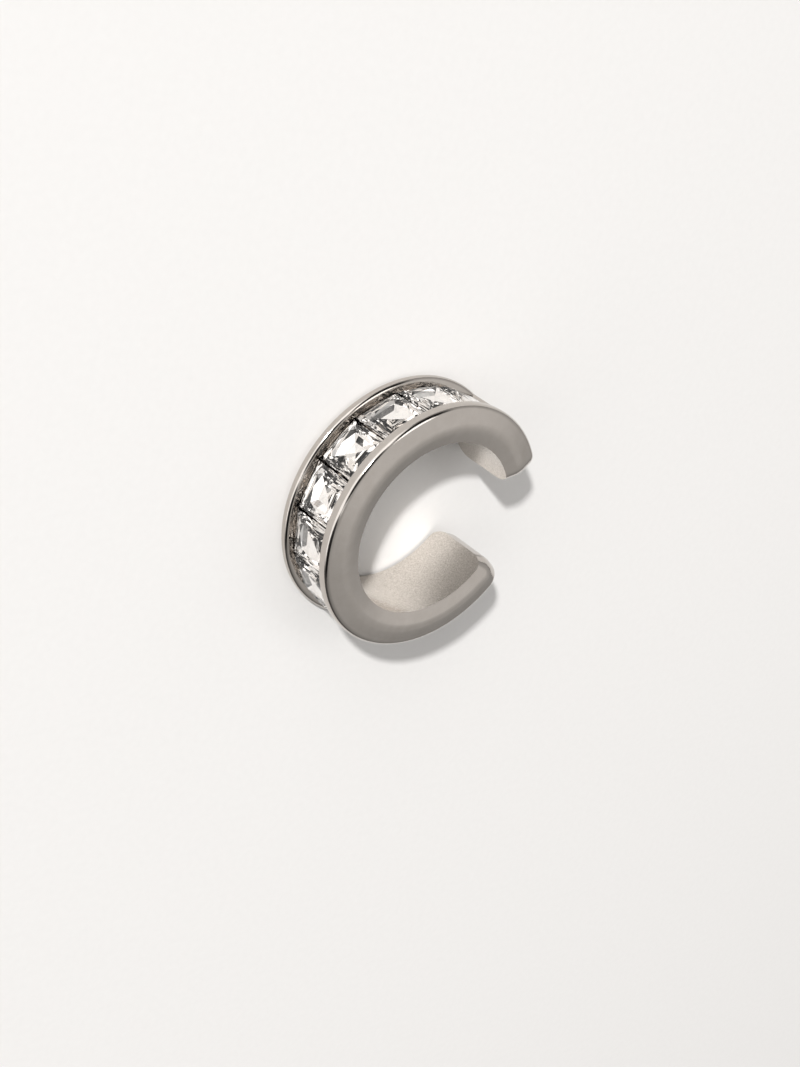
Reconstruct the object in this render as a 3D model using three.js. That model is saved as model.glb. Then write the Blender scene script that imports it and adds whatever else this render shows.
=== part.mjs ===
// Ear cuff: a C-shaped metal band, set all round its outside with square-cut crystals in a channel.
//
// The cuff lies on its side. +Z runs along the axis of the ring, the opening faces +X, and the
// origin is at the middle of the outline, level with the face that the cuff rests on.
// Millimetres throughout.
//
// The band is described flat, like the strip it would be formed from. A strip point has three
// numbers: along (from the middle of the strip towards an end), across (along the axis of the
// ring) and a radius. rolledUp() turns it into a point of the finished ring.

import * as THREE from "three";

// Ring
const BORE_RADIUS = 4.75;
const OUTER_RADIUS = 6.7;
const ROLL_RADIUS = 5.9; // lengths along the strip are true at this radius
const OPENING_ANGLE = 52; // degrees between the two ends, at the middle of the width

// Band, flat
const BAND_WIDTH = 4.16; // across the crests of the two side faces
const CORNER_RADIUS = 1.0; // of the strip's four corners

// Channel and crystals
const CRYSTAL_COUNT = 10;
const CRYSTAL_PITCH = 24; // degrees
const CRYSTAL_LENGTH = 2.5; // along the row
const CRYSTAL_WIDTH = 2.6; // across the band
const GIRDLE_RADIUS = 6.1;
const WALL_GAP = 0.08; // between a crystal and the channel's walls
const CHANNEL_FLOOR_RADIUS = 5.3;

// How finely the band is divided
const CHANNEL_STEPS = 40;
const SHOULDER_STEPS = 5;
const CORNER_STEPS = 5;
const END_STEPS = 2;

const toRadians = THREE.MathUtils.degToRad;
const halfLength = ROLL_RADIUS * toRadians(180 - OPENING_ANGLE / 2);
const halfWidth = BAND_WIDTH / 2;
const channelHalfWidth = CRYSTAL_WIDTH / 2 + WALL_GAP;
const channelHalfLength = ROLL_RADIUS * toRadians((CRYSTAL_COUNT * CRYSTAL_PITCH) / 2) + WALL_GAP;

// The side of the band, from the bore round to the top of the rail: how far each line lies in
// from the crest, and its radius. The two lines at the crest bound the flat that it rests on.
const SIDE_PROFILE = [
  { inset: 0.16, radius: BORE_RADIUS },
  { inset: 0.05, radius: 5.08 },
  { inset: 0.0, radius: 5.45 },
  { inset: 0.0, radius: 5.75 },
  { inset: 0.03, radius: 6.1 },
  { inset: 0.1, radius: 6.42 },
  { inset: 0.2, radius: 6.6 },
  { inset: 0.34, radius: OUTER_RADIUS },
];

// The top of the rail, from there to the mouth of the channel: the share of the way across, and
// the radius. Beyond the last crystal the same lines spread over the plain end of the band.
const RAIL_TOP = [
  { share: 0.25, radius: OUTER_RADIUS },
  { share: 0.5, radius: OUTER_RADIUS },
  { share: 0.75, radius: 6.68 },
  { share: 0.9, radius: 6.64 },
  { share: 1.0, radius: 6.56 },
];

// One crystal from its blunt point up to its table: the size of each level as a share of the
// girdle, and its height above the underside of the girdle.
const CRYSTAL_LEVELS = [
  { size: 0.12, height: -0.68 },
  { size: 0.7, height: -0.34 },
  { size: 1.0, height: 0.0 },
  { size: 1.0, height: 0.05 },
  { size: 0.84, height: 0.22 },
  { size: 0.6, height: 0.34 },
];

// A strip point on the finished ring. The middle of the strip comes to lie at -X.
function rolledUp(along, across, radius) {
  const angle = Math.PI - along / ROLL_RADIUS;
  return [radius * Math.cos(angle), radius * Math.sin(angle), across];
}

// A quarter of the strip's outline, inset by a distance: the long edge beside the channel, the
// long edge beside the plain end, the round corner, and the end edge as far as the middle.
function stripQuarter(inset) {
  const points = [];
  const cornerAlong = halfLength - CORNER_RADIUS;
  const cornerAcross = halfWidth - CORNER_RADIUS;
  const cornerRadius = CORNER_RADIUS - inset;
  for (let i = 0; i < CHANNEL_STEPS / 2; i += 1) {
    points.push([(channelHalfLength * i) / (CHANNEL_STEPS / 2), halfWidth - inset]);
  }
  for (let i = 0; i < SHOULDER_STEPS; i += 1) {
    const along = THREE.MathUtils.lerp(channelHalfLength, cornerAlong, i / SHOULDER_STEPS);
    points.push([along, halfWidth - inset]);
  }
  for (let i = 0; i < CORNER_STEPS; i += 1) {
    const angle = (Math.PI / 2) * (1 - i / CORNER_STEPS);
    const along = cornerAlong + cornerRadius * Math.cos(angle);
    points.push([along, cornerAcross + cornerRadius * Math.sin(angle)]);
  }
  for (let i = 0; i <= END_STEPS; i += 1) {
    points.push([halfLength - inset, cornerAcross * (1 - i / END_STEPS)]);
  }
  return points;
}

// The same quarter of the channel's outline, with as many points.
function channelQuarter() {
  const points = [];
  for (let i = 0; i < CHANNEL_STEPS / 2; i += 1) {
    points.push([(channelHalfLength * i) / (CHANNEL_STEPS / 2), channelHalfWidth]);
  }
  const endSteps = SHOULDER_STEPS + CORNER_STEPS + END_STEPS;
  for (let i = 0; i <= endSteps; i += 1) {
    points.push([channelHalfLength, channelHalfWidth * (1 - i / endSteps)]);
  }
  return points;
}

// A whole closed outline from a quarter, mirrored twice. Its first point is at the middle of the
// upper edge, and it goes round by the far end.
function wholeOutline(quarter) {
  const upperHalf = quarter.slice();
  const lowerFar = quarter.slice(0, -1).reverse().map(([x, y]) => [x, -y]);
  const lowerNear = quarter.slice(1).map(([x, y]) => [-x, -y]);
  const upperNear = quarter.slice(1, -1).reverse().map(([x, y]) => [-x, y]);
  return [...upperHalf, ...lowerFar, ...lowerNear, ...upperNear];
}

// The outline part of the way from the rail's edge to the channel's mouth.
function between(first, second, share) {
  return first.map(([x, y], i) => [
    THREE.MathUtils.lerp(x, second[i][0], share),
    THREE.MathUtils.lerp(y, second[i][1], share),
  ]);
}

// A closed skin through rings of points, from the innermost ring outwards. A ring has 4n points.
// Points 0 and 2n face each other across it, with the ends of the ring at points n and 3n, so
// the first and last rings are closed by strips from each point to the one facing it.
function skin(rings) {
  const count = rings[0].length;
  const facing = (i) => (count / 2 - i + count) % count;
  const index = [];
  for (let ring = 0; ring + 1 < rings.length; ring += 1) {
    for (let i = 0; i < count; i += 1) {
      const a = ring * count + i;
      const b = ring * count + ((i + 1) % count);
      index.push(a, b, a + count, b, b + count, a + count);
    }
  }
  const lastRing = (rings.length - 1) * count;
  const closeAcross = (a, b, c) => {
    index.push(a, c, b, lastRing + a, lastRing + b, lastRing + c);
  };
  for (let step = 0; step < count / 2; step += 1) {
    const a = ((3 * count) / 4 + step) % count;
    const b = (a + 1) % count;
    if (facing(b) !== b) closeAcross(a, b, facing(b));
    if (facing(a) !== a) closeAcross(a, facing(b), facing(a));
  }
  const geometry = new THREE.BufferGeometry();
  geometry.setAttribute("position", new THREE.Float32BufferAttribute(rings.flat(2), 3));
  geometry.setIndex(index);
  geometry.computeVertexNormals();
  return geometry;
}

function bandGeometry() {
  const railEdge = SIDE_PROFILE[SIDE_PROFILE.length - 1];
  const railOutline = wholeOutline(stripQuarter(railEdge.inset));
  const channelOutline = wholeOutline(channelQuarter());
  const levels = [
    ...SIDE_PROFILE.map(({ inset, radius }) => [wholeOutline(stripQuarter(inset)), radius]),
    ...RAIL_TOP.map(({ share, radius }) => [between(railOutline, channelOutline, share), radius]),
    [channelOutline, CHANNEL_FLOOR_RADIUS],
  ];
  return skin(levels.map(([outline, radius]) => outline.map(([x, y]) => rolledUp(x, y, radius))));
}

// One crystal with its row along X, the width of the band along Y and its table facing +Z.
function crystalGeometry() {
  const rings = CRYSTAL_LEVELS.map(({ size, height }) => {
    const x = (size * CRYSTAL_LENGTH) / 2;
    const y = (size * CRYSTAL_WIDTH) / 2;
    return [[x, y, height], [-x, y, height], [-x, -y, height], [x, -y, height]];
  });
  return skin(rings);
}

const metal = new THREE.MeshStandardMaterial({ color: 0xa8a19a, roughness: 0.22, metalness: 1 });
const crystal = new THREE.MeshStandardMaterial({ color: 0xeef0f2, roughness: 0.03, metalness: 0 });

const ring = new THREE.Group();
const band = new THREE.Mesh(bandGeometry(), metal);
band.name = "cuff_band";
ring.add(band);

for (let i = 0; i < CRYSTAL_COUNT; i += 1) {
  const stone = new THREE.Mesh(crystalGeometry(), crystal);
  stone.name = `crystal_${String(i + 1).padStart(2, "0")}`;
  const angle = Math.PI - toRadians((i - (CRYSTAL_COUNT - 1) / 2) * CRYSTAL_PITCH);
  const outward = new THREE.Vector3(Math.cos(angle), Math.sin(angle), 0);
  const alongRow = new THREE.Vector3(-Math.sin(angle), Math.cos(angle), 0);
  const turn = new THREE.Matrix4().makeBasis(alongRow, new THREE.Vector3(0, 0, 1), outward);
  stone.quaternion.setFromRotationMatrix(turn);
  stone.position.copy(outward).multiplyScalar(GIRDLE_RADIUS);
  ring.add(stone);
}

// Stand the lower side face on Z = 0 and put the middle of the outline over the origin.
band.geometry.computeBoundingBox();
const box = band.geometry.boundingBox;
ring.position.set(-(box.min.x + box.max.x) / 2, -(box.min.y + box.max.y) / 2, -box.min.z);

const group = new THREE.Group();
group.add(ring);
export default group;
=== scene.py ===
# %% [markdown]
# # Ear cuff
#
# A chunky C of polished, rhodium-plated metal. Its outside is a channel that holds one row of
# square-cut crystals between two thin rails. The frame below gives the cuff's place and size, and
# everything here is made around it.

# %% Load the frame
import math
import bpy
from mathutils import Matrix, Vector


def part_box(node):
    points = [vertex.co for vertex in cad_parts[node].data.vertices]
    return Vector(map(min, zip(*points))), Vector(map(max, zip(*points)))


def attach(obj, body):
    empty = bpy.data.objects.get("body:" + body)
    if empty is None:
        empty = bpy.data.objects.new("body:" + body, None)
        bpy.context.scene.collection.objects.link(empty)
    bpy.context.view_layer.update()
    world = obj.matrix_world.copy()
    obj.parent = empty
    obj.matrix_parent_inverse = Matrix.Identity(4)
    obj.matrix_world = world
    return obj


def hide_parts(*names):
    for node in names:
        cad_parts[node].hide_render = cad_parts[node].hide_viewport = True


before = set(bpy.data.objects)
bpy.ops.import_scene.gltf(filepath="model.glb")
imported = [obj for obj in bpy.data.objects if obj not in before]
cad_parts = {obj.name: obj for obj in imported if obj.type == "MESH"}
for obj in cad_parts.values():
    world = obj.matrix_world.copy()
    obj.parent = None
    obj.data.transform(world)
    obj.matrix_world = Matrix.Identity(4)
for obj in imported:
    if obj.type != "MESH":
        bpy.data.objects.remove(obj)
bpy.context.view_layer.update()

# %% [markdown]
# The ring's sizes are the maker's: the band is a strip that is rolled up, so lengths along it are
# true at one radius only. The place comes from the frame: the middle of the band's height, and the
# middle of the bore, which lies one outside radius in from the back of the ring.

# %% Sizes of the cuff, in metres
MM = 0.001
BORE_RADIUS = 4.75 * MM
OUTER_RADIUS = 6.7 * MM
ROLL_RADIUS = 5.9 * MM
BAND_WIDTH = 4.16 * MM
CORNER_RADIUS = 1.0 * MM
OPENING_ANGLE = math.radians(52)
CRYSTAL_COUNT = 10
CRYSTAL_PITCH = math.radians(24)
CRYSTAL_LENGTH = 2.5 * MM
CRYSTAL_WIDTH = 2.6 * MM
GIRDLE_RADIUS = 6.1 * MM
WALL_GAP = 0.08 * MM
CHANNEL_FLOOR_RADIUS = 5.3 * MM

half_length = ROLL_RADIUS * (math.pi - OPENING_ANGLE / 2)
channel_half_width = CRYSTAL_WIDTH / 2 + WALL_GAP
channel_half_length = ROLL_RADIUS * CRYSTAL_COUNT * CRYSTAL_PITCH / 2 + WALL_GAP

band_low, band_high = (Vector(corner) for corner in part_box("cuff_band"))
ring_centre = Vector((band_low.x + OUTER_RADIUS, 0, (band_low.z + band_high.z) / 2))
print("ring centre", ring_centre, "band width", band_high.z - band_low.z)

# %% [markdown]
# The camera looks down on one side face and the outside of the band, from the side away from the
# opening. Its three directions are given in the ring's own frame, and it stands off far enough
# that the ring hardly tapers.

# %% Camera
CAMERA_TOWARD = Vector((-0.613, 0.4644, 0.6392))
CAMERA_RIGHT = Vector((0.7708, 0.1737, 0.613))
CAMERA_TURN = math.radians(6.5)
CAMERA_DISTANCE = 89.7 * MM
CAMERA_LENS = 80.4
SENSOR_WIDTH = 36
CLIP_START = 1 * MM
CLIP_END = 5
RING_OFFSET = (0.56 * MM, 1.12 * MM)

turn = Matrix.Rotation(CAMERA_TURN, 3, "Z")
toward = (turn @ CAMERA_TOWARD).normalized()
right = turn @ CAMERA_RIGHT
right = (right - right.dot(toward) * toward).normalized()
up = toward.cross(right)

bpy.ops.object.select_all(action="DESELECT")
bpy.ops.object.camera_add()
camera = bpy.context.object
camera.name = "camera"
place = ring_centre + toward * CAMERA_DISTANCE - right * RING_OFFSET[0] - up * RING_OFFSET[1]
camera.matrix_world = Matrix.Translation(place) @ Matrix((right, up, toward)).transposed().to_4x4()
camera.data.sensor_fit = "HORIZONTAL"
camera.data.sensor_width = SENSOR_WIDTH
camera.data.lens = CAMERA_LENS
camera.data.clip_start = CLIP_START
camera.data.clip_end = CLIP_END
bpy.context.scene.camera = camera
print("camera", place, "height above the floor", place.z)

# %% [markdown]
# Colours are read off as sRGB hex values, and shaders want linear ones. One function turns them,
# and one more adds a node to a material with its settings and its links.

# %% Helpers for colours and nodes
def colour(hex_value):
    channels = [int(hex_value[i:i + 2], 16) / 255 for i in (1, 3, 5)]
    linear = [c / 12.92 if c <= 0.04045 else ((c + 0.055) / 1.055) ** 2.4 for c in channels]
    return (*linear, 1.0)


def add_node(tree, kind, settings=None, values=None, links=None):
    node = tree.nodes.new(kind)
    for name, value in (settings or {}).items():
        setattr(node, name, value)
    for name, value in (values or {}).items():
        node.inputs[name].default_value = value
    for name, socket in (links or {}).items():
        tree.links.new(socket, node.inputs[name])
    return node


def new_material(name):
    material = bpy.data.materials.new(name)
    material.use_nodes = True
    material.node_tree.nodes.clear()
    return material, material.node_tree


print("white is", colour("#ffffff"))

# %% [markdown]
# Everything is shaped in edit mode. An operator acts on all that is selected, so a helper starts
# each piece with nothing else selected, and another picks the faces or edges to work on by a test
# on their place or direction.

# %% Helpers for modelling
FACING = 0.9  # a face looks along an axis if its normal has this much of it


def edit_only(piece):
    bpy.ops.object.select_all(action="DESELECT")
    piece.select_set(True)
    bpy.context.view_layer.objects.active = piece
    bpy.ops.object.mode_set(mode="EDIT")
    bpy.ops.mesh.select_all(action="DESELECT")


def pick(piece, kind, test):
    bpy.ops.object.mode_set(mode="OBJECT")
    mesh = piece.data
    for parts in (mesh.vertices, mesh.edges, mesh.polygons):
        parts.foreach_set("select", [False] * len(parts))
    modes = (kind == "vertices", kind == "edges", kind == "polygons")
    bpy.context.tool_settings.mesh_select_mode = modes
    for part in getattr(mesh, kind):
        part.select = test(part)
    bpy.ops.object.mode_set(mode="EDIT")


def settle(piece):
    bpy.ops.object.mode_set(mode="OBJECT")
    bpy.ops.object.select_all(action="DESELECT")
    piece.select_set(True)
    bpy.context.view_layer.objects.active = piece
    bpy.ops.object.transform_apply(location=True, rotation=True, scale=True)


def middle_of_edge(mesh, edge):
    first, second = (mesh.vertices[i].co for i in edge.vertices)
    return (first + second) / 2


print("helpers ready")

# %% [markdown]
# ## The band
#
# A jeweller casts the band flat or forms it from a strip, and rolls it into a C. The same is done
# here. A block the size of the strip gets its round corners from a bevel. Then its side is built
# up by insets: each one steps in from the outline and out along the normal, so that the convex
# side face runs round the ends of the strip as well. A spin would have been quicker, but it would
# leave the ends flat.
#
# Along the strip is X, the radius is Y, measured from the radius at which lengths are true, and
# the ring's axis is Z.

# %% The strip's block and its corners
CREST_LOW = 5.45 * MM - ROLL_RADIUS
CREST_HIGH = 5.75 * MM - ROLL_RADIUS
CORNER_STEPS = 10
NEAR_END = 0.99
NEAR_SIDE = 0.98

bpy.ops.object.select_all(action="DESELECT")
bpy.ops.mesh.primitive_cube_add(
    size=1,
    location=(0, (CREST_LOW + CREST_HIGH) / 2, 0),
    scale=(2 * half_length, CREST_HIGH - CREST_LOW, BAND_WIDTH),
)
band = bpy.context.object
band.name = "polished_band"
settle(band)
edit_only(band)
pick(band, "edges", lambda edge: (
    abs(middle_of_edge(band.data, edge).x) > half_length * NEAR_END
    and abs(middle_of_edge(band.data, edge).z) > BAND_WIDTH / 2 * NEAR_SIDE
))
bpy.ops.mesh.bevel(offset=CORNER_RADIUS, segments=CORNER_STEPS, profile=0.5)
bpy.ops.object.mode_set(mode="OBJECT")
print("strip", band.dimensions, len(band.data.polygons), "faces")

# %% [markdown]
# The side face is a gentle dome from the bore's sharp edge to the rail, with the crest in its
# middle, and then turns over quickly at the rail's rounded top. Each row of the tables is one
# inset: how far in, and how far on.

# %% Build up the two sides of the crest
TOWARDS_RAIL = [
    (0.010, 0.08), (0.020, 0.12), (0.025, 0.13), (0.027, 0.14), (0.030, 0.13),
    (0.012, 0.070), (0.020, 0.070), (0.030, 0.065), (0.040, 0.055), (0.048, 0.042),
    (0.054, 0.028), (0.058, 0.014), (0.050, 0.006),
]
TOWARDS_BORE = [(0.012, 0.08), (0.025, 0.12), (0.036, 0.15), (0.042, 0.17), (0.045, 0.18)]


def step_in(steps, total_rise):
    listed_rise = sum(onward for inward, onward in steps)
    for inward, onward in steps:
        bpy.ops.mesh.inset(thickness=inward * MM, depth=onward * total_rise / listed_rise)


pick(band, "polygons", lambda face: face.normal.y > FACING)
step_in(TOWARDS_RAIL, OUTER_RADIUS - ROLL_RADIUS - CREST_HIGH)
pick(band, "polygons", lambda face: face.normal.y < -FACING)
step_in(TOWARDS_BORE, CREST_LOW + ROLL_RADIUS - BORE_RADIUS)
bpy.ops.object.mode_set(mode="OBJECT")
print("band flat", band.dimensions, len(band.data.polygons), "faces")

# %% [markdown]
# The channel is milled out of the strip, so it is cut by a block of its own size, and the rails'
# inner edges are then rounded over. The bevel picks the edges round the mouth by their place.

# %% Cut the channel and round its mouth
RAIL_ROUNDING = 0.19 * MM
ROUNDING_STEPS = 6
CUTTER_HEADROOM = 1 * MM
LEVEL_TOLERANCE = 0.002 * MM
SLACK_ALONG = 1.0001
SLACK_ACROSS = 1.001
channel_top = OUTER_RADIUS - ROLL_RADIUS
channel_floor = CHANNEL_FLOOR_RADIUS - ROLL_RADIUS
cutter_top = channel_top + CUTTER_HEADROOM

bpy.ops.object.select_all(action="DESELECT")
bpy.ops.mesh.primitive_cube_add(
    size=1,
    location=(0, (channel_floor + cutter_top) / 2, 0),
    scale=(2 * channel_half_length, cutter_top - channel_floor, 2 * channel_half_width),
)
cutter = bpy.context.object
settle(cutter)
settle(band)
cut = band.modifiers.new("channel", "BOOLEAN")
cut.operation = "DIFFERENCE"
cut.solver = "EXACT"
cut.object = cutter
bpy.ops.object.modifier_apply(modifier=cut.name)
bpy.data.objects.remove(cutter)


def is_mouth(edge):
    spot = middle_of_edge(band.data, edge)
    ends = [band.data.vertices[i].co for i in edge.vertices]
    level = all(abs(end.y - channel_top) < LEVEL_TOLERANCE for end in ends)
    within_length = abs(spot.x) < channel_half_length * SLACK_ALONG
    within_width = abs(spot.z) < channel_half_width * SLACK_ACROSS
    return level and within_length and within_width


edit_only(band)
pick(band, "edges", is_mouth)
bpy.ops.mesh.bevel(offset=RAIL_ROUNDING, segments=ROUNDING_STEPS, profile=0.5)
bpy.ops.object.mode_set(mode="OBJECT")
print("with its channel", len(band.data.polygons), "faces")

# %% [markdown]
# To roll up smoothly the strip needs lines across it. Each bisect cuts the whole strip through at
# one place along X, and the bend then turns the many short facets into a round.

# %% Lines across the strip, and the roll
ROLL_STEP = math.radians(2)

edit_only(band)
cuts = int(2 * half_length / ROLL_RADIUS / ROLL_STEP)
for i in range(1, cuts):
    along = -half_length + 2 * half_length * i / cuts
    bpy.ops.mesh.select_all(action="SELECT")
    bpy.ops.mesh.bisect(plane_co=(along, 0, 0), plane_no=(1, 0, 0))
bpy.ops.object.mode_set(mode="OBJECT")

roll = band.modifiers.new("roll", "SIMPLE_DEFORM")
roll.deform_method = "BEND"
roll.deform_axis = "Z"
roll.angle = -2 * half_length / ROLL_RADIUS
bpy.ops.object.modifier_apply(modifier=roll.name)
band.location = (0, ROLL_RADIUS, 0)
settle(band)
band.rotation_euler = (0, 0, math.pi / 2)
band.location = ring_centre
settle(band)
print("rolled up", band.dimensions, len(band.data.polygons), "faces")

# %% [markdown]
# The bore stays satin from the tumbler while the rest is polished bright, so the band has two
# finishes. The faces of the bore are known by their radius, and the edge between the two finishes
# is the bore's own sharp edge. Shading is smooth up to a set angle, which keeps that edge and the
# channel's corners crisp.

# %% Shade the band and mark its finishes
SHARP_ANGLE = math.radians(35)
BORE_TOLERANCE = 0.003 * MM
POLISHED_SLOT, SATIN_SLOT = 0, 1


def radius_of(point):
    return (point - ring_centre).xy.length


bpy.ops.object.shade_smooth_by_angle(angle=SHARP_ANGLE)
for face in band.data.polygons:
    in_bore = all(
        radius_of(band.data.vertices[i].co) < BORE_RADIUS + BORE_TOLERANCE for i in face.vertices
    )
    face.material_index = SATIN_SLOT if in_bore else POLISHED_SLOT
satin_faces = sum(face.material_index == SATIN_SLOT for face in band.data.polygons)
print("satin faces", satin_faces, "of", len(band.data.polygons))

# %% [markdown]
# ## The crystals
#
# Each stone is square glass, cut with a small table, a crown that slopes down to the girdle, and a
# back of many facets that is silvered, which is why the row glitters and no metal shows through.
# One stone is cut here from a thin slab by insets and pokes: a poke lifts the middle of a face, so
# that one flat facet becomes several. It is then copied along the row.
#
# The slab's X points outwards, Y runs along the row and Z across the band.

# %% The slab and its crown
GIRDLE_HEIGHT = 0.05 * MM
CROWN_STEPS = [(0.16, 0.14), (0.22, 0.12)]
TABLE_CORNER = 0.34 * MM
CUT_TOLERANCE = 0.001 * MM

bpy.ops.object.select_all(action="DESELECT")
bpy.ops.mesh.primitive_cube_add(
    size=1,
    location=(GIRDLE_HEIGHT / 2, 0, 0),
    scale=(GIRDLE_HEIGHT, CRYSTAL_LENGTH, CRYSTAL_WIDTH),
)
stone = bpy.context.object
settle(stone)
edit_only(stone)
pick(stone, "polygons", lambda face: face.normal.x > FACING)
for inward, onward in CROWN_STEPS:
    bpy.ops.mesh.inset(thickness=inward * MM, depth=onward * MM)
table_height = GIRDLE_HEIGHT + sum(onward for inward, onward in CROWN_STEPS) * MM
pick(stone, "vertices", lambda vertex: vertex.co.x > table_height - CUT_TOLERANCE)
bpy.ops.mesh.bevel(offset=TABLE_CORNER, affect="VERTICES")
bpy.ops.object.mode_set(mode="OBJECT")
print("crown", stone.dimensions, len(stone.data.polygons), "facets")

# %% [markdown]
# The back steps in to a low point. Then each large facet, on the back and on the crown, is poked
# into four, which takes in neither the flat table nor the narrow facets at the girdle.

# %% The back and the small facets
BACK_STEPS = [(0.22, 0.20), (0.30, 0.20), (0.32, 0.12)]
POINT_HEIGHT = 0.09 * MM
FACET_LIFT = 0.07 * MM
CROWN_LIFT = 0.03 * MM
LARGE_FACET = 0.2 * MM ** 2
SLANTED = 0.1
TABLE_FACING = 0.95


def is_back_facet(face):
    return -FACING < face.normal.x < -SLANTED and face.area > LARGE_FACET


def is_crown_facet(face):
    return SLANTED < face.normal.x < TABLE_FACING and face.area > LARGE_FACET


edit_only(stone)
pick(stone, "polygons", lambda face: face.normal.x < -FACING)
for inward, onward in BACK_STEPS:
    bpy.ops.mesh.inset(thickness=inward * MM, depth=onward * MM)
bpy.ops.mesh.poke(offset=POINT_HEIGHT)
pick(stone, "polygons", is_back_facet)
bpy.ops.mesh.poke(offset=FACET_LIFT)
pick(stone, "polygons", is_crown_facet)
bpy.ops.mesh.poke(offset=CROWN_LIFT)
bpy.ops.object.mode_set(mode="OBJECT")
print("crystal", stone.dimensions, len(stone.data.polygons), "facets")

# %% [markdown]
# The back's facets are all those below the girdle. They get the silver, and the rest stays clear.

# %% Silver the back
CLEAR_SLOT, SILVERED_SLOT = 0, 1

for facet in stone.data.polygons:
    facet.material_index = SILVERED_SLOT if facet.center.x < -CUT_TOLERANCE else CLEAR_SLOT
print("silvered facets", sum(f.material_index == SILVERED_SLOT for f in stone.data.polygons))

# %% [markdown]
# ## Finishes
#
# Each finish is a shader whose tone or gloss drifts with a noise. The noise is set in millimetres
# in the object's own space, and a ramp turns it into a colour between two tones.

# %% Helpers for finishes
def add_noise(tree, width, detail, roughness=0.5):
    place = add_node(tree, "ShaderNodeTexCoord")
    millimetres = add_node(
        tree, "ShaderNodeVectorMath", {"operation": "SCALE"}, {"Scale": 1 / MM},
        {0: place.outputs["Object"]},
    )
    return add_node(
        tree, "ShaderNodeTexNoise", None,
        {"Scale": 1 / width, "Detail": detail, "Roughness": roughness},
        {"Vector": millimetres.outputs["Vector"]},
    ).outputs["Fac"]


def two_tones(tree, source, first, second, spread=(0.0, 1.0)):
    ramp = add_node(tree, "ShaderNodeValToRGB", None, None, {"Fac": source})
    for element, hex_value, position in zip(ramp.color_ramp.elements, (first, second), spread):
        element.position = position
        element.color = colour(hex_value)
    return ramp.outputs["Color"]


def add_relief(tree, source, strength, depth):
    values = {"Strength": strength, "Distance": depth}
    return add_node(tree, "ShaderNodeBump", None, values, {"Height": source}).outputs["Normal"]


def add_shader(tree, values, links):
    shader = add_node(tree, "ShaderNodeBsdfPrincipled", None, values, links)
    add_node(tree, "ShaderNodeOutputMaterial", None, None, {"Surface": shader.outputs["BSDF"]})
    print("shader with", len(tree.nodes), "nodes")


print("helpers for finishes ready")

# %% [markdown]
# The metal is brass with a rhodium plate. Rhodium is a slightly warm grey mirror. Hand polishing
# leaves faint hairline marks, so the roughness varies a little and there is a very low relief. The
# tone drifts over about half a millimetre.

# %% Polished rhodium plate
RHODIUM = "#c6c0ba"
RHODIUM_SHADE = "#bcb5ae"
TONE_WIDTH = 0.6  # millimetres
HAIRLINE_WIDTH = 0.05  # millimetres
HAIRLINE_SPREAD = (0.3, 0.7)
HAIRLINE_RELIEF = 0.04
HAIRLINE_DEPTH = 0.05 * MM
POLISHED_ROUGHNESS = (0.06, 0.11)

polished, tree = new_material("polished_rhodium_plate")
tone = two_tones(tree, add_noise(tree, TONE_WIDTH, 2.0), RHODIUM_SHADE, RHODIUM)
hairlines = add_noise(tree, HAIRLINE_WIDTH, 3.0)
gloss = add_node(
    tree, "ShaderNodeMapRange", None,
    {"From Min": HAIRLINE_SPREAD[0], "From Max": HAIRLINE_SPREAD[1],
     "To Min": POLISHED_ROUGHNESS[0], "To Max": POLISHED_ROUGHNESS[1]},
    {"Value": hairlines},
).outputs["Result"]
relief = add_relief(tree, hairlines, HAIRLINE_RELIEF, HAIRLINE_DEPTH)
add_shader(tree, {"Metallic": 1.0}, {"Base Color": tone, "Roughness": gloss, "Normal": relief})

# %% [markdown]
# The bore has the grain that tumbling leaves: fine pits, less than a tenth of a millimetre across.
# They spread the light, so this finish is rougher and its relief is stronger.

# %% Satin rhodium plate
SATIN_LIGHT = "#e4dfd9"
SATIN_DARK = "#bfb8b0"
SATIN_ROUGHNESS = 0.26
GRAIN_WIDTH = 0.07  # millimetres
GRAIN_SPREAD = (0.35, 0.65)
GRAIN_RELIEF = 0.4
GRAIN_DEPTH = 0.02 * MM

satin, tree = new_material("satin_rhodium_plate")
grain = add_noise(tree, GRAIN_WIDTH, 4.0, 0.6)
tone = two_tones(tree, grain, SATIN_DARK, SATIN_LIGHT, GRAIN_SPREAD)
relief = add_relief(tree, grain, GRAIN_RELIEF, GRAIN_DEPTH)
add_shader(
    tree, {"Metallic": 1.0, "Roughness": SATIN_ROUGHNESS}, {"Base Color": tone, "Normal": relief},
)

# %% [markdown]
# Crystal glass is clear, with a higher index than window glass, and cut facets are polished, so
# its roughness is nothing. A trace of tint drifts through each stone, and through the silver.

# %% Crystal glass and its silvered back
CRYSTAL_IOR = 1.56
GLASS_CLEAR = "#ffffff"
GLASS_TINT = "#faf8f5"
FOIL_BRIGHT = "#ffffff"
FOIL_SHADE = "#f8f3ee"
FOIL_ROUGHNESS = 0.03
DRIFT_WIDTH = 0.8  # millimetres

glass, tree = new_material("cut_crystal_glass")
tone = two_tones(tree, add_noise(tree, DRIFT_WIDTH, 1.0), GLASS_TINT, GLASS_CLEAR)
add_shader(
    tree, {"Transmission Weight": 1.0, "IOR": CRYSTAL_IOR, "Roughness": 0.0}, {"Base Color": tone},
)

foil, tree = new_material("silvered_back")
tone = two_tones(tree, add_noise(tree, DRIFT_WIDTH, 2.0), FOIL_SHADE, FOIL_BRIGHT)
add_shader(tree, {"Metallic": 1.0, "Roughness": FOIL_ROUGHNESS}, {"Base Color": tone})

# %% [markdown]
# The band takes its two finishes by the slots that were marked. The cut stone is then copied ten
# times, a pitch apart round the ring, with the middle of the row opposite the opening.

# %% Put the finishes on and set the row of crystals
band.data.materials.append(polished)
band.data.materials.append(satin)
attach(band, "root")
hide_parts("cuff_band")

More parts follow.
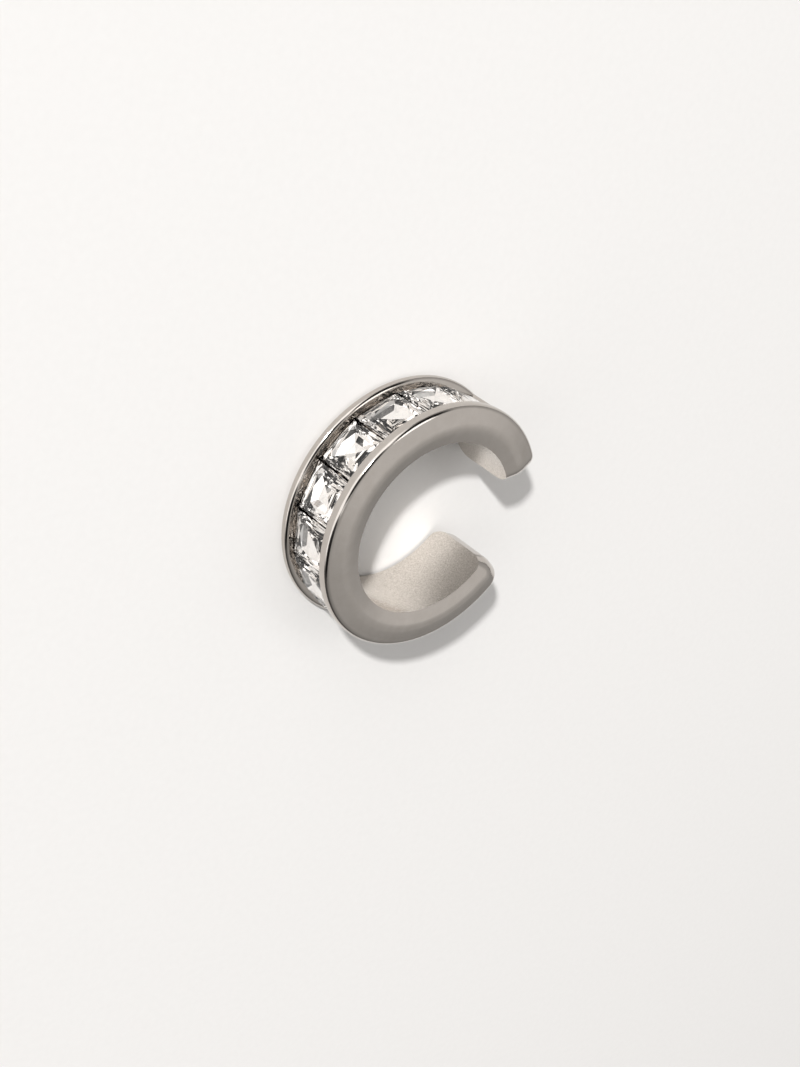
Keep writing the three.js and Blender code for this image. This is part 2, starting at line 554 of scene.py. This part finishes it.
stone.data.materials.append(glass)
stone.data.materials.append(foil)
for i in range(CRYSTAL_COUNT):
    copy = stone.copy()
    copy.data = stone.data.copy()
    copy.name = f"cut_crystal_{i + 1:02d}"
    bpy.context.collection.objects.link(copy)
    angle = math.pi - (i - (CRYSTAL_COUNT - 1) / 2) * CRYSTAL_PITCH
    outward = Vector((math.cos(angle), math.sin(angle), 0))
    copy.rotation_euler = (0, 0, angle)
    copy.location = ring_centre + outward * GIRDLE_RADIUS
    settle(copy)
    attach(copy, "root")
    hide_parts(f"crystal_{i + 1:02d}")
bpy.data.objects.remove(stone)
print("crystals set", CRYSTAL_COUNT)

# %% [markdown]
# ## The studio
#
# The cuff lies on a wide sheet of pale, matt paper.

# %% Floor
FLOOR_SIZE = 1.2
PAPER = "#dfdddb"
PAPER_SHADE = "#dbd9d7"
PAPER_ROUGHNESS = 0.9
FIBRE_WIDTH = 0.4  # millimetres

bpy.ops.object.select_all(action="DESELECT")
bpy.ops.mesh.primitive_plane_add(size=FLOOR_SIZE, location=(0, 0, 0))
floor = bpy.context.object
floor.name = "paper_floor"
settle(floor)
paper, tree = new_material("matt_paper")
tone = two_tones(tree, add_noise(tree, FIBRE_WIDTH, 2.0), PAPER_SHADE, PAPER)
add_shader(tree, {"Roughness": PAPER_ROUGHNESS}, {"Base Color": tone})
floor.data.materials.append(paper)
print("floor", floor.dimensions)

# %% [markdown]
# Polished metal and cut glass show the room more than themselves. The side face mirrors the room
# on its far side, which is bright high up and falls off towards the horizon. The stones send light
# back to where they are seen from, so a low soft box stands on the camera's side. Three dark flags
# in an arc above that box draw the dark line along the polished rails.
#
# The room is a function of direction only. Each light or flag in it has a way that it lies in, and
# an edge: how much of that way a direction has where it fades in, and where it is full.

# %% The room's lights and flags
ROOM_BRIGHT_WAY = (0.5, 0.1, 0.86)
ROOM_LEVELS = [(0.0, 0.05), (0.5, 0.1), (0.72, 0.38), (0.88, 0.56), (0.97, 0.85)]
FLAG_WAYS = [(-0.45, 0.34, 0.82), (0.20, 0.76, 0.62), (-0.62, -0.42, 0.66)]
FLAG_EDGE = (0.89, 0.96)
FLAG_DARKNESS = 0.03
BOX_WAY = (-0.86, 0.4, 0.22)
BOX_EDGE = (0.36, 0.66)
BOX_BRIGHTNESS = 1.75
ROOM_TINT = (1.0, 0.985, 0.965)
ROOM_STRENGTH = 0.94


def along_direction(tree, way):
    aim = (turn @ Vector(way)).normalized()
    direction = add_node(tree, "ShaderNodeTexCoord")
    return add_node(
        tree, "ShaderNodeVectorMath", {"operation": "DOT_PRODUCT"}, {1: aim},
        {0: direction.outputs["Generated"]},
    ).outputs["Value"]


def soft_edged(tree, way, edge, outside, inside):
    return add_node(
        tree, "ShaderNodeMapRange", {"interpolation_type": "SMOOTHSTEP"},
        {"From Min": edge[0], "From Max": edge[1], "To Min": outside, "To Max": inside},
        {"Value": along_direction(tree, way)},
    ).outputs["Result"]


print("room levels", len(ROOM_LEVELS), "flags", len(FLAG_WAYS))

# %% [markdown]
# A ramp from the dark end of the room to its bright end is the base. The soft box is added to it,
# and each flag then darkens what lies behind it.

# %% Put the room together
world = bpy.data.worlds.new("room")
bpy.context.scene.world = world
world.use_nodes = True
tree = world.node_tree
tree.nodes.clear()
half = add_node(
    tree, "ShaderNodeMapRange", None, {"From Min": -1.0, "From Max": 1.0},
    {"Value": along_direction(tree, ROOM_BRIGHT_WAY)},
)
ramp = add_node(tree, "ShaderNodeValToRGB", None, None, {"Fac": half.outputs["Result"]})
ramp.color_ramp.interpolation = "EASE"
elements = ramp.color_ramp.elements
for i, (level, brightness) in enumerate(ROOM_LEVELS):
    element = elements[i] if i < 2 else elements.new(level)
    element.position = level
    element.color = (*(brightness * share for share in ROOM_TINT), 1)
light = add_node(
    tree, "ShaderNodeVectorMath", {"operation": "ADD"}, None,
    {0: ramp.outputs["Color"], 1: soft_edged(tree, BOX_WAY, BOX_EDGE, 0.0, BOX_BRIGHTNESS)},
)
for way in FLAG_WAYS:
    light = add_node(
        tree, "ShaderNodeVectorMath", {"operation": "SCALE"}, None,
        {0: light.outputs["Vector"],
         "Scale": soft_edged(tree, way, FLAG_EDGE, 1.0, FLAG_DARKNESS)},
    )
background = add_node(
    tree, "ShaderNodeBackground", None, {"Strength": ROOM_STRENGTH},
    {"Color": light.outputs["Vector"]},
)
add_node(tree, "ShaderNodeOutputWorld", None, None, {"Surface": background.outputs["Background"]})
bpy.context.scene.view_settings.view_transform = "Standard"
print("room", len(tree.nodes), "nodes")

# %% [markdown]
# The key lamp is low and small, on the camera's side, and throws the shadow across the paper. The
# top lamp is large and weak, and fills the shadow a little.

# %% Lamps
LAMPS = [
    # name, direction to the lamp, distance and size in metres, power in watts
    ("key_lamp", (-0.62, 0.60, 0.50), 1.00, 0.05, 12.8),
    ("top_lamp", (0.3, 0.5, 1.0), 0.90, 0.36, 0.6),
]

for name, direction, distance, size, power in LAMPS:
    bpy.ops.object.select_all(action="DESELECT")
    bpy.ops.object.light_add(type="AREA")
    lamp = bpy.context.object
    lamp.name = name
    lamp.data.shape = "DISK"
    lamp.data.size = size
    lamp.data.energy = power
    aim = (turn @ Vector(direction)).normalized()
    lamp.location = ring_centre + aim * distance
    lamp.rotation_euler = aim.to_track_quat("Z", "Y").to_euler()
    print(name, tuple(round(c, 3) for c in lamp.location))

# %% [markdown]
# The last cell brings the scene up to date.

# %% Bring the scene up to date
bpy.context.view_layer.update()
